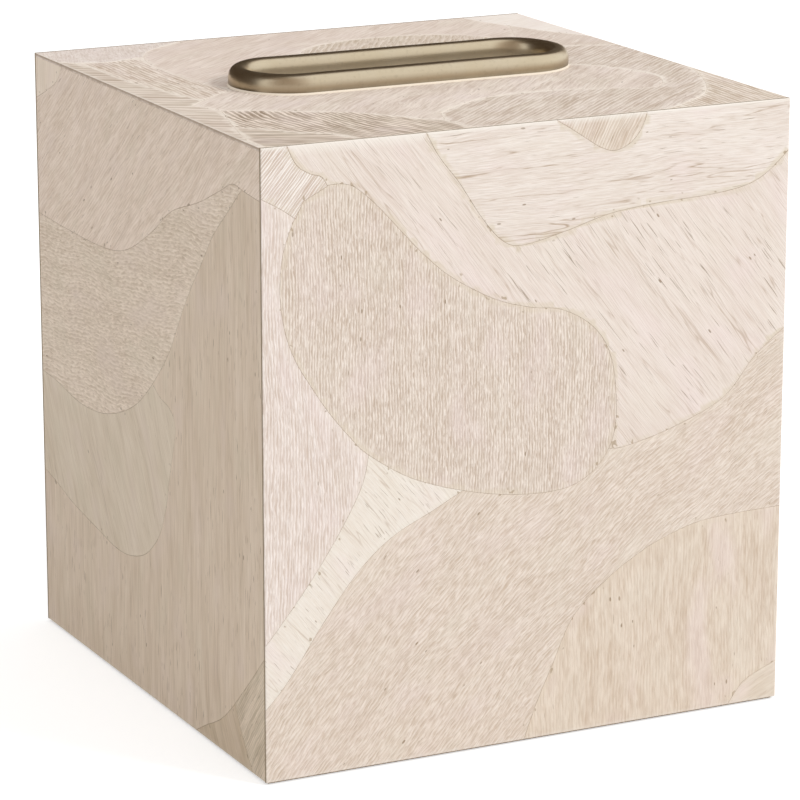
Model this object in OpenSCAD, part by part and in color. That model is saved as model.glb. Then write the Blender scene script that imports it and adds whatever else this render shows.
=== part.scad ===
// Cube tissue box cover.
// A rebated box of thin boards, open underneath, is faced on all five sides
// with veneer leaves cut to free curves and laid edge to edge. A cast ring
// with a round bead trims the slot in the lid. It drops over a cube box of
// tissues. Millimetres, +Z up, the front faces -Y, origin under the middle.

/* [Cover] */
// Outside width
body_w = 140; // [130:0.5:180]
// Outside depth
body_d = 140; // [120:0.5:180]
// Outside height, without the ring
body_h = 152.5; // [130:0.5:200]

/* [Boards] */
// Thickness of the carcass boards
board_t = 9; // [7:0.5:12]
// How deep each board sits in its neighbour's rebate
rebate = 4; // [2:0.5:6]
// Glue gap at the end of each rebate
glue_gap = 0.1; // [0.05:0.05:0.3]

/* [Veneer] */
// Thickness of the outer leaves
leaf_t = 0.8; // [0.5:0.1:2]
// Thickness of the backing veneer inside
backing_t = 0.6; // [0.4:0.1:1.5]
// Bare foot of the boards left below the veneer
foot_reveal = 0.4; // [0.2:0.1:2]

/* [Slot ring] */
// Straight run of the ring between its round ends
ring_run = 61; // [40:1:75]
// Radius of the ring's centre line round each end
ring_r = 12.4; // [9:0.1:18]
// Radius of the bead's round top
bead_r = 2.55; // [1.8:0.05:3.5]
// Height that the bead stands above the lid
bead_h = 4.9; // [4:0.1:7]
// Wall of the throat that reaches down into the slot
throat_wall = 1.6; // [1:0.1:2]
// Depth of the throat below the lid
throat_depth = 6; // [3:0.5:9]
// Gap between the throat and the slot it drops into
throat_gap = 0.15; // [0.1:0.05:0.3]

/* [Hidden] */

// Smooth steps between two points of a curve
curve_steps = 6;
// Overrun of every cut
cut = 1;

core_w = body_w - 2 * leaf_t;
core_d = body_d - 2 * leaf_t;
core_h = body_h - leaf_t;
inner_w = core_w - 2 * board_t;
inner_d = core_d - 2 * board_t;
// Underside of the lid board, where the walls' ledges carry it
ledge_z = core_h - board_t;
// The side boards run past the inside of the front and back by the rebate
side_run = inner_d + 2 * rebate;
lid_w = inner_w + 2 * rebate;
// The throat carries on down from the bead's inner side
throat_r = ring_r - bead_r + throat_wall;
slot_r = throat_r + throat_gap;

cream = "#EFE5D8";
blush = "#EADBCF";
oat = "#E3D3BF";
tan = "#DBC9B2";
fibre = "#C9B08A";
bronze = "#B9AB88";

// Each face below is drawn as shares of its width and height, seen from
// outside, and the lid as seen from above with the front edge at the bottom.
// A leaf is a list of runs joined end to end: a run of three or more points
// is a smooth curve, and a shorter one stays straight. Leaves are listed from
// the first laid to the last, and each is trimmed by those listed after it,
// so neighbours meet along one shared curve.
whole_share = [[[-0.05, -0.05], [1.05, -0.05]], [[1.05, 1.05], [-0.05, 1.05]]];

front_shares = [
    whole_share,
    // base, below the long rising curve at the lower right
    [[[0.48, -0.025], [0.51, 0.05], [0.545, 0.12], [0.585, 0.195], [0.645, 0.245],
      [0.705, 0.28], [0.765, 0.305], [0.855, 0.325], [1.03, 0.33]], [[1.05, -0.05]]],
    // toe, in the lower right corner
    [[[0.885, -0.02], [0.915, 0.02], [0.945, 0.045], [1.03, 0.075]], [[1.05, -0.05]]],
    // spike, from the left edge up between side, blob and band
    [[[-0.035, 0.09], [0.035, 0.155], [0.105, 0.245], [0.17, 0.32], [0.235, 0.37],
      [0.315, 0.405], [0.37, 0.43], [0.415, 0.45]], [[0.3, 0.6], [-0.05, 0.4]]],
    // side, up the left edge
    [[[-0.035, 0.19], [0.02, 0.245], [0.09, 0.325], [0.145, 0.4], [0.18, 0.46],
      [0.193, 0.51], [0.2, 0.55]], [[0.15, 0.8], [0.07, 0.91], [-0.05, 0.95]]],
    // slant, across the upper half to the right edge
    [[[0.6, 0.48], [0.655, 0.465], [0.7, 0.468], [0.785, 0.488], [0.88, 0.525],
      [0.945, 0.59], [1.035, 0.65]], [[1.05, 1.05], [-0.05, 1.05], [0.055, 0.92]]],
    // upper, along the top edge
    [[[0.285, 1.025], [0.32, 0.965], [0.36, 0.918], [0.405, 0.857], [0.445, 0.818],
      [0.485, 0.81], [0.565, 0.825], [0.65, 0.845], [0.75, 0.854], [0.87, 0.86],
      [0.95, 0.88], [1.03, 0.945]], [[1.05, 1.05]]],
    // notch, the half round at the top edge
    [[[0.515, 1.015], [0.57, 0.985], [0.628, 0.951], [0.66, 0.944], [0.693, 0.959],
      [0.714, 0.99], [0.718, 1.025]]],
    // blob, the large rounded leaf
    [[[0.08, 0.923], [0.118, 0.934], [0.157, 0.932], [0.187, 0.914], [0.22, 0.885],
      [0.247, 0.858], [0.286, 0.82], [0.334, 0.78], [0.385, 0.75], [0.44, 0.725],
      [0.5, 0.709], [0.557, 0.7], [0.615, 0.669], [0.65, 0.623], [0.664, 0.557],
      [0.66, 0.485], [0.625, 0.435], [0.565, 0.41], [0.47, 0.411], [0.368, 0.43],
      [0.27, 0.462], [0.191, 0.508], [0.157, 0.54], [0.118, 0.584], [0.086, 0.628],
      [0.06, 0.668], [0.041, 0.715], [0.032, 0.775], [0.038, 0.835], [0.055, 0.88]]],
    // tip, in the upper left corner
    [[[-0.035, 0.94], [0.029, 0.908], [0.061, 0.888]], [[0.075, 0.913]],
     [[0.119, 0.933], [0.108, 0.948], [0.084, 0.956], [0.06, 0.974], [0.036, 1.023]],
     [[-0.05, 1.05]]]
];

left_shares = [
    // heel, in the corner at the front foot
    whole_share,
    // wedge, beside the heel
    [[[0.843, 0.145], [0.886, 0.075], [0.939, 0.01], [0.965, -0.02]], [[0.5, -0.05], [0.5, 0.2]]],
    // tall, from foot to shoulder
    [[[0.657, -0.02], [0.743, 0.022], [0.814, 0.054], [0.875, 0.098], [0.976, 0.185],
      [1.036, 0.243]], [[1.05, 1.05], [-0.05, 1.05], [-0.05, -0.05]]],
    // low, the sagging leaf at the back
    [[[0.514, 0.551], [0.564, 0.525], [0.607, 0.515], [0.631, 0.492], [0.621, 0.449],
      [0.603, 0.4], [0.586, 0.348], [0.554, 0.292], [0.496, 0.247], [0.429, 0.225],
      [0.357, 0.219], [0.257, 0.231], [0.143, 0.247], [0.043, 0.269], [-0.043, 0.282]],
     [[-0.05, 0.6]]],
    // middle, sweeping up to the front
    [[[-0.043, 0.452], [0.071, 0.447], [0.186, 0.433], [0.3, 0.439], [0.414, 0.47],
      [0.5, 0.515], [0.6, 0.597], [0.65, 0.66], [0.694, 0.715], [0.755, 0.78],
      [0.806, 0.834], [0.867, 0.881], [0.957, 0.951]], [[0.95, 1.05], [-0.05, 1.05]]],
    // shoulder, under the lid
    [[[-0.043, 0.728], [0.143, 0.723], [0.321, 0.724], [0.429, 0.741], [0.543, 0.791],
      [0.629, 0.839], [0.743, 0.873], [0.836, 0.908], [0.886, 0.927], [0.936, 0.923],
      [1.043, 0.915]], [[1.05, 1.05], [-0.05, 1.05]]],
    // tip, in the upper back corner
    [[[-0.043, 0.908], [0.057, 0.944], [0.118, 0.975], [0.15, 1.03]], [[-0.05, 1.05]]]
];

right_shares = [
    // tall
    whole_share,
    // sweep, rising from the front foot
    [[[-0.03, 0.5], [0.1, 0.47], [0.24, 0.4], [0.36, 0.28], [0.46, 0.13], [0.5, -0.03]],
     [[-0.05, -0.05]]],
    // shoulder, across the top
    [[[-0.03, 0.66], [0.12, 0.64], [0.28, 0.68], [0.42, 0.77], [0.58, 0.82], [0.76, 0.78],
      [0.9, 0.68], [1.03, 0.64]], [[1.05, 1.05], [-0.05, 1.05]]],
    // lobe, from the back edge
    [[[1.03, 0.54], [0.88, 0.56], [0.74, 0.52], [0.66, 0.42], [0.68, 0.3], [0.78, 0.22],
      [0.9, 0.22], [1.03, 0.26]]],
    // toe, at the back foot
    [[[0.72, -0.03], [0.8, 0.06], [0.9, 0.1], [1.03, 0.11]], [[1.05, -0.05]]],
    // tip, in the upper front corner
    [[[-0.03, 0.86], [0.06, 0.88], [0.13, 0.93], [0.16, 1.03]], [[-0.05, 1.05]]]
];

back_shares = [
    // tall
    whole_share,
    // sweep, along the foot
    [[[-0.03, 0.42], [0.12, 0.46], [0.28, 0.43], [0.44, 0.33], [0.58, 0.19], [0.68, 0.08],
      [0.74, -0.03]], [[-0.05, -0.05]]],
    // upper
    [[[-0.03, 0.66], [0.12, 0.63], [0.28, 0.67], [0.42, 0.77], [0.5, 0.9], [0.53, 1.03]],
     [[-0.05, 1.05]]],
    // lobe, from the edge on the right
    [[[1.03, 0.86], [0.88, 0.85], [0.74, 0.77], [0.65, 0.64], [0.67, 0.5], [0.79, 0.41],
      [0.91, 0.39], [1.03, 0.41]]],
    // toe
    [[[0.84, -0.03], [0.88, 0.06], [0.94, 0.11], [1.03, 0.13]], [[1.05, -0.05]]],
    // notch at the top edge
    [[[0.68, 1.03], [0.7, 0.97], [0.76, 0.94], [0.83, 0.96], [0.86, 1.03]]]
];

lid_shares = [
    // right, from the front edge up to the band
    whole_share,
    // band, behind the ring's right end
    [[[1.043, 0.596], [0.989, 0.605], [0.936, 0.624], [0.886, 0.632], [0.836, 0.6],
      [0.743, 0.53]], [[0.7, 0.52], [0.7, 1.05], [1.05, 1.05]]],
    // corner, at the back left
    [[[-0.05, 0.36], [0.4, 0.43]], [[0.43, 1.05], [-0.05, 1.05]]],
    // hatched, left of the ring
    [[[-0.043, 0.9], [0.046, 0.857], [0.093, 0.847], [0.143, 0.864], [0.214, 0.886]],
     [[0.3, 0.43], [-0.05, 0.36]]],
    // rear, round the back of the ring
    [[[0.357, 1.043], [0.257, 0.971], [0.193, 0.921], [0.157, 0.857], [0.14, 0.771],
      [0.143, 0.657], [0.15, 0.571], [0.179, 0.518], [0.243, 0.5]],
     [[0.3, 0.5], [0.7, 0.53]],
     [[0.743, 0.543], [0.8, 0.6], [0.839, 0.671], [0.868, 0.757], [0.907, 0.85],
      [0.986, 1.043]]],
    // lens, behind the ring
    [[[0.443, 0.543], [0.414, 0.664], [0.436, 0.779], [0.486, 0.831], [0.557, 0.859],
      [0.643, 0.867], [0.729, 0.854], [0.786, 0.821], [0.829, 0.757], [0.814, 0.657],
      [0.743, 0.543]], [[0.7, 0.53]]],
    // cream, in the back right corner
    [[[0.871, 1.036], [0.893, 0.939], [0.929, 0.846], [0.964, 0.768], [1.029, 0.657]],
     [[1.05, 1.05]]],
    // heel, at the front left corner
    [[[0.3, -0.05], [0.2, 0.3]], [[-0.05, 0.36], [-0.05, -0.05]]],
    // front, the hatched leaf along the front edge
    [[[-0.029, 0.236], [0.057, 0.164], [0.114, 0.096], [0.161, 0.057], [0.182, -0.021]],
     [[0.393, -0.021], [0.384, 0.036], [0.376, 0.09], [0.35, 0.16]],
     [[0.2, 0.4], [-0.05, 0.4]]],
    // edge, the strip along the left edge
    [[[-0.029, 0.914], [0.021, 0.864], [0.036, 0.786], [0.04, 0.679], [0.06, 0.543],
      [0.082, 0.436], [0.089, 0.379], [0.074, 0.321], [0.036, 0.186], [0.014, 0.093],
      [0.01, 0.029], [0.013, -0.029]], [[-0.05, -0.05]]],
    // centre, round the front of the ring
    [[[0.243, 0.521], [0.168, 0.491], [0.107, 0.446], [0.049, 0.391]],
     [[0.076, 0.329], [0.143, 0.293], [0.214, 0.25], [0.271, 0.214], [0.314, 0.164],
      [0.35, 0.111], [0.377, 0.088]],
     [[0.4, 0.146], [0.457, 0.193], [0.543, 0.239], [0.657, 0.25], [0.757, 0.221],
      [0.829, 0.193], [0.871, 0.218], [0.9, 0.279], [0.893, 0.343], [0.85, 0.429],
      [0.743, 0.514]], [[0.7, 0.505], [0.3, 0.51]]],
    // toe, in the front right corner
    [[[0.714, -0.021], [0.8, 0.031], [0.886, 0.099], [0.943, 0.189], [0.982, 0.282],
      [1.007, 0.371]], [[1.05, -0.05]]]
];

// Point at share t of the way from b to c on a smooth curve through a, b, c, d
function between(a, b, c, d, t) =
    b + (c - a) * t / 2 + (2 * a - 5 * b + 4 * c - d) * t * t / 2
      + (3 * b - a - 3 * c + d) * t * t * t / 2;

// Smooth curve through the points of a run, or the run itself if it is short
function smooth(run) = len(run) < 3 ? run :
    [for (i = [0 : len(run) - 2], k = [0 : curve_steps - 1])
        between(run[max(i - 1, 0)], run[i], run[i + 1], run[min(i + 2, len(run) - 1)],
                k / curve_steps),
     run[len(run) - 1]];

// One leaf's own outline on a face of the given width and height
module outline(leaf_share, w, h)
    polygon([for (run = leaf_share, q = smooth(run)) [q.x * w, q.y * h]]);

// Leaf i of a face, trimmed by the leaves laid after it and by the box from
// low to high on that face
module leaf_plan(shares, i, w, h, low, high)
    intersection() {
        translate(low) square(high - low);
        difference() {
            outline(shares[i], w, h);
            for (j = [i + 1 : 1 : len(shares) - 1]) outline(shares[j], w, h);
        }
    }

// Front and back leaves cover the corners and the lid's edges, and the side
// leaves fit between
module front_leaf(i)
    translate([-body_w / 2, leaf_t - body_d / 2, 0]) rotate([90, 0, 0])
        linear_extrude(leaf_t)
            leaf_plan(front_shares, i, body_w, body_h, [0, foot_reveal], [body_w, body_h]);

module back_leaf(i)
    translate([body_w / 2, body_d / 2 - leaf_t, 0]) rotate([90, 0, 180])
        linear_extrude(leaf_t)
            leaf_plan(back_shares, i, body_w, body_h, [0, foot_reveal], [body_w, body_h]);

module left_leaf(i)
    translate([leaf_t - body_w / 2, body_d / 2, 0]) rotate([90, 0, -90])
        linear_extrude(leaf_t)
            leaf_plan(left_shares, i, body_d, body_h,
                      [leaf_t, foot_reveal], [body_d - leaf_t, core_h]);

module right_leaf(i)
    translate([body_w / 2 - leaf_t, -body_d / 2, 0]) rotate([90, 0, 90])
        linear_extrude(leaf_t)
            leaf_plan(right_shares, i, body_d, body_h,
                      [leaf_t, foot_reveal], [body_d - leaf_t, core_h]);

// The lid's leaves cover the tops of the side leaves and fit between the
// front's and the back's
module lid_leaf(i)
    translate([-body_w / 2, -body_d / 2, core_h])
        linear_extrude(leaf_t)
            difference() {
                leaf_plan(lid_shares, i, body_w, body_d, [0, leaf_t], [body_w, body_d - leaf_t]);
                translate([body_w / 2, body_d / 2]) slot_plan(slot_r);
            }

// Long hole or disc with round ends of radius r, centred
module slot_plan(r) {
    square([ring_run, 2 * r], center = true);
    for (side = [-1, 1]) translate([side * ring_run / 2, 0]) circle(r = r, $fn = 96);
}

// Front wall: rebated at both ends for the side boards and on top for the lid
module wall_board()
    difference() {
        translate([-core_w / 2, -core_d / 2, 0]) cube([core_w, board_t, core_h]);
        for (side = [0, 1]) mirror([side, 0, 0])
            translate([inner_w / 2 - glue_gap, -inner_d / 2 - rebate - glue_gap, -cut])
                cube([board_t + glue_gap + cut, rebate + glue_gap + cut, core_h + 2 * cut]);
        translate([-core_w / 2 - cut, -inner_d / 2 - rebate - glue_gap, ledge_z])
            cube([core_w + 2 * cut, rebate + glue_gap + cut, board_t + cut]);
    }

module front_board() color(fibre) wall_board();

module back_board() color(fibre) mirror([0, 1, 0]) wall_board();

// Side wall, between the front and back walls and in their rebates
module side_board()
    difference() {
        translate([-core_w / 2, -side_run / 2, 0]) cube([board_t, side_run, core_h]);
        translate([-inner_w / 2 - rebate - glue_gap, -side_run / 2 - cut, ledge_z])
            cube([rebate + glue_gap + cut, side_run + 2 * cut, board_t + cut]);
    }

module left_board() color(fibre) side_board();

module right_board() color(fibre) mirror([1, 0, 0]) side_board();

module lid_board() color(fibre)
    translate([0, 0, ledge_z]) difference() {
        translate([-lid_w / 2, -side_run / 2, 0]) cube([lid_w, side_run, board_t]);
        translate([0, 0, -cut]) linear_extrude(board_t + 2 * cut) slot_plan(slot_r);
    }

// Backing veneer inside, which balances the leaves outside
module wall_backing()
    translate([-inner_w / 2, -inner_d / 2, foot_reveal])
        cube([inner_w, backing_t, ledge_z - backing_t - foot_reveal]);

module front_backing() color(oat) wall_backing();

module back_backing() color(oat) mirror([0, 1, 0]) wall_backing();

module side_backing()
    translate([-inner_w / 2, backing_t - inner_d / 2, foot_reveal])
        cube([backing_t, inner_d - 2 * backing_t, ledge_z - backing_t - foot_reveal]);

module left_backing() color(oat) side_backing();

module right_backing() color(oat) mirror([1, 0, 0]) side_backing();

module lid_backing() color(oat)
    translate([0, 0, ledge_z - backing_t]) difference() {
        translate([-inner_w / 2, -inner_d / 2, 0]) cube([inner_w, inner_d, backing_t]);
        translate([0, 0, -cut]) linear_extrude(backing_t + 2 * cut) slot_plan(slot_r);
    }

module front_band_leaf() color(oat) front_leaf(0);
module front_base_leaf() color(oat) front_leaf(1);
module front_toe_leaf() color(cream) front_leaf(2);
module front_spike_leaf() color(cream) front_leaf(3);
module front_side_leaf() color(blush) front_leaf(4);
module front_slant_leaf() color(blush) front_leaf(5);
module front_upper_leaf() color(cream) front_leaf(6);
module front_notch_leaf() color(tan) front_leaf(7);
module front_blob_leaf() color(oat) front_leaf(8);
module front_tip_leaf() color(blush) front_leaf(9);

module left_heel_leaf() color(tan) left_leaf(0);
module left_wedge_leaf() color(oat) left_leaf(1);
module left_tall_leaf() color(oat) left_leaf(2);
module left_low_leaf() color(tan) left_leaf(3);
module left_middle_leaf() color(oat) left_leaf(4);
module left_shoulder_leaf() color(oat) left_leaf(5);
module left_tip_leaf() color(cream) left_leaf(6);

module right_tall_leaf() color(oat) right_leaf(0);
module right_sweep_leaf() color(blush) right_leaf(1);
module right_shoulder_leaf() color(cream) right_leaf(2);
module right_lobe_leaf() color(tan) right_leaf(3);
module right_toe_leaf() color(cream) right_leaf(4);
module right_tip_leaf() color(oat) right_leaf(5);

module back_tall_leaf() color(blush) back_leaf(0);
module back_sweep_leaf() color(oat) back_leaf(1);
module back_upper_leaf() color(cream) back_leaf(2);
module back_lobe_leaf() color(oat) back_leaf(3);
module back_toe_leaf() color(cream) back_leaf(4);
module back_notch_leaf() color(tan) back_leaf(5);

module lid_right_leaf() color(oat) lid_leaf(0);
module lid_band_leaf() color(tan) lid_leaf(1);
module lid_corner_leaf() color(blush) lid_leaf(2);
module lid_hatched_leaf() color(tan) lid_leaf(3);
module lid_rear_leaf() color(blush) lid_leaf(4);
module lid_lens_leaf() color(tan) lid_leaf(5);
module lid_cream_leaf() color(cream) lid_leaf(6);
module lid_heel_leaf() color(oat) lid_leaf(7);
module lid_front_leaf() color(tan) lid_leaf(8);
module lid_edge_leaf() color(oat) lid_leaf(9);
module lid_centre_leaf() color(blush) lid_leaf(10);
module lid_toe_leaf() color(tan) lid_leaf(11);

// Section of the ring, out from the middle of the slot: a half-round top on
// straight sides, and a throat that carries on down from its inner side
module ring_section(reach) {
    intersection() {
        translate([reach, bead_h - bead_r]) circle(r = bead_r, $fn = 64);
        translate([reach - bead_r - cut, 0]) square([2 * (bead_r + cut), bead_h + cut]);
    }
    translate([reach - bead_r, 0]) square([2 * bead_r, bead_h - bead_r]);
    translate([reach - bead_r, -throat_depth]) square([throat_wall, throat_depth + bead_h - bead_r]);
}

// Cast ring: a bead that lies on the lid and a throat that lines the slot
module slot_ring() color(bronze)
    translate([0, 0, body_h])
        for (turn = [0, 180]) rotate([0, 0, turn]) {
            translate([ring_run / 2, 0, 0]) rotate([0, 0, -90])
                rotate_extrude(angle = 180, $fn = 96) ring_section(ring_r);
            translate([-ring_run / 2, 0, 0]) rotate([90, 0, 90])
                linear_extrude(ring_run) ring_section(ring_r);
        }

front_board();
back_board();
left_board();
right_board();
lid_board();
front_backing();
back_backing();
left_backing();
right_backing();
lid_backing();
front_band_leaf();
front_base_leaf();
front_toe_leaf();
front_spike_leaf();
front_side_leaf();
front_slant_leaf();
front_upper_leaf();
front_notch_leaf();
front_blob_leaf();
front_tip_leaf();
left_heel_leaf();
left_wedge_leaf();
left_tall_leaf();
left_low_leaf();
left_middle_leaf();
left_shoulder_leaf();
left_tip_leaf();
right_tall_leaf();
right_sweep_leaf();
right_shoulder_leaf();
right_lobe_leaf();
right_toe_leaf();
right_tip_leaf();
back_tall_leaf();
back_sweep_leaf();
back_upper_leaf();
back_lobe_leaf();
back_toe_leaf();
back_notch_leaf();
lid_right_leaf();
lid_band_leaf();
lid_corner_leaf();
lid_hatched_leaf();
lid_rear_leaf();
lid_lens_leaf();
lid_cream_leaf();
lid_heel_leaf();
lid_front_leaf();
lid_edge_leaf();
lid_centre_leaf();
lid_toe_leaf();
slot_ring();
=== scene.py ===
import math

import bpy
import numpy as np
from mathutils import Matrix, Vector, geometry


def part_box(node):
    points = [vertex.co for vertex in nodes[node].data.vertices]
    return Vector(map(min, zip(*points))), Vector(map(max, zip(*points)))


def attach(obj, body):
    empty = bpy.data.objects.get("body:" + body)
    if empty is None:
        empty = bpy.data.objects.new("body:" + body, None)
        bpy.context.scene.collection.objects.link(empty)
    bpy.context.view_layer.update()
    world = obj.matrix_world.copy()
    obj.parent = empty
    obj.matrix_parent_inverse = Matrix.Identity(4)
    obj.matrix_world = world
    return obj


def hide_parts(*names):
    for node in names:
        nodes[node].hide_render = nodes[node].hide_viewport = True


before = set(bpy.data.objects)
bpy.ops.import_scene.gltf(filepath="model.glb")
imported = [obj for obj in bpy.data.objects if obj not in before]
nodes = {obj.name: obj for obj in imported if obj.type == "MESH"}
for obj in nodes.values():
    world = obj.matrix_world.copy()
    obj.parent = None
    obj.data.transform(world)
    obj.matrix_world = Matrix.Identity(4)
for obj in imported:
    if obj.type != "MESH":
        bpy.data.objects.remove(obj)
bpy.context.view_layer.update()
scene = bpy.context.scene
mm = 0.001
print("frame loaded,", len(nodes), "nodes")

# Camera, at the photograph's place and angle. turn and tilt are in radians, lens and sensor in mm
view = dict(place=(-0.42982, -0.86523, 0.32677), turn=0.46092, tilt=0.26093, lens=177.24,
            sensor=36, clip=(0.05, 50))

camera = bpy.data.objects.new("camera", bpy.data.cameras.new("camera"))
scene.collection.objects.link(camera)
scene.camera = camera
camera.data.lens = view["lens"]
camera.data.sensor_width = view["sensor"]
camera.data.clip_start, camera.data.clip_end = view["clip"]
camera.location = view["place"]
camera.rotation_euler = (math.pi / 2 - view["tilt"], 0, -view["turn"])
print("camera placed")


# One socket of a shader tree, so that sums of fields add their own Math nodes
class Field:
    def __init__(self, tree, socket=None):
        self.tree, self.socket = tree, socket

    def node(self, kind, settings=None, inputs=None, out=0):
        made = self.tree.nodes.new("ShaderNode" + kind)
        for key, value in (settings or {}).items():
            setattr(made, key, value)
        for key, value in (inputs or {}).items():
            if isinstance(value, Field):
                self.tree.links.new(value.socket, made.inputs[key])
            else:
                made.inputs[key].default_value = value
        return Field(self.tree, made.outputs[out] if made.outputs else None)

    def beside(self, name):
        # Another output of the same node
        return Field(self.tree, self.socket.node.outputs[name])

    def attribute(self, name):
        # A number that the mesh holds for each vertex
        return self.node("Attribute", dict(attribute_name=name), None, "Fac")

    def maths(self, operation, *values):
        return self.node("Math", dict(operation=operation), dict(enumerate(values)))

    def sine(self):
        return self.maths("SINE", self)

    def size(self):
        return self.maths("ABSOLUTE", self)

    def __add__(self, other):
        return self.maths("ADD", self, other)

    def __sub__(self, other):
        return self.maths("SUBTRACT", self, other)

    def __rsub__(self, other):
        return self.maths("SUBTRACT", other, self)

    def __mul__(self, other):
        return self.maths("MULTIPLY", self, other)

    __radd__, __rmul__ = __add__, __mul__

    # Smooth step: 0 where the field is at low, 1 at high
    def rise(self, low, high):
        return self.node("MapRange", dict(interpolation_type="SMOOTHSTEP"),
                         {"Value": self, "From Min": low, "From Max": high})

    def clip(self):
        return self.node("Clamp", None, {"Value": self})


def tone(text):
    # A written colour such as d8c7b0, as the linear numbers that sockets hold: the screen's
    # curve undone, which is straight near black and a power above it
    share = [int(text[i:i + 2], 16) / 255 for i in (0, 2, 4)]
    return tuple(s / 12.92 if s < 0.04045 else ((s + 0.055) / 1.055) ** 2.4
                 for s in share) + (1.0,)


def newMaterial(name):
    material = bpy.data.materials.new(name)
    material.use_nodes = True
    tree = material.node_tree
    tree.nodes.clear()
    return material, Field(tree)


def finishMaterial(tree, inputs):
    # inputs are the shader's sockets by name, each with a field or with one value all over
    shader = tree.node("BsdfPrincipled", None, inputs)
    tree.node("OutputMaterial", None, {"Surface": shader})


def blendColours(tree, factor, first, second):
    return tree.node("Mix", dict(data_type="RGBA"), {0: factor, 6: first, 7: second}, 2)


def addAttributes(mesh, **fields):
    # One number for each vertex and field, which the materials read by the field's name
    for title, values in fields.items():
        found = mesh.attributes.new(title, "FLOAT", "POINT")
        found.data.foreach_set("value", np.ravel(values))


# Each face's outward, rightward and upward directions, as someone looking at it sees them
faces = dict(
    front=((0, -1, 0), (1, 0, 0), (0, 0, 1)),
    back=((0, 1, 0), (-1, 0, 0), (0, 0, 1)),
    left=((-1, 0, 0), (0, -1, 0), (0, 0, 1)),
    right=((1, 0, 0), (0, 1, 0), (0, 0, 1)),
    lid=((0, 0, 1), (1, 0, 0), (0, 1, 0)),
)

# How a leaf's grain reads. thread and ripple are the strengths of the even and the broken lines,
# pitch how wide and run how long they are, in mm, jitter how much the even ones break up, wave
# how far they wander, fibre the finest broken lines, mottle, streak and cloud the drift of tone
# from small to large, and hair, dash and pore the shares of hairlines, dark dashes and pores
figures = dict(
    rippled=dict(thread=0.70, ripple=0.75, pitch=0.88, run=2.3, jitter=4.2, wave=0.16, fibre=0.50,
                 mottle=0.24, streak=0.18, cloud=0.08, hair=0.15, dash=0.15, pore=0.6),
    lined=dict(thread=1.00, ripple=0.55, pitch=0.66, run=6.0, jitter=3.2, wave=0.12, fibre=0.40,
               mottle=0.35, streak=0.35, cloud=0.20, hair=0.10, dash=0.20, pore=0.3),
    dashed=dict(thread=0.15, ripple=0.40, pitch=0.80, run=5.0, jitter=4.0, wave=0.10, fibre=0.65,
                mottle=0.14, streak=0.24, cloud=0.28, hair=0.50, dash=0.80, pore=0.4),
    straight=dict(thread=0.25, ripple=0.50, pitch=1.10, run=9.0, jitter=3.0, wave=0.12, fibre=0.50,
                  mottle=0.35, streak=0.45, cloud=0.20, hair=0.20, dash=0.30, pore=0.5),
    woolly=dict(thread=0.35, ripple=0.90, pitch=1.30, run=1.9, jitter=3.5, wave=0.30, fibre=0.60,
                mottle=0.30, streak=0.25, cloud=0.20, hair=0.10, dash=0.10, pore=0.3),
    quiet=dict(thread=0.20, ripple=0.50, pitch=1.30, run=6.0, jitter=3.5, wave=0.25, fibre=0.55,
               mottle=0.40, streak=0.40, cloud=0.35, hair=0.30, dash=0.15, pore=0.3),
)

# What a leaf has unless it says otherwise: blush is the share of rose, length how long its
# dashes are in mm, mark how dark they are, and seam the least share of the glue line's tone
usual = dict(blush=0.35, length=3.0, mark=0.85, seam=0.1, arcFrom=0)

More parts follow.
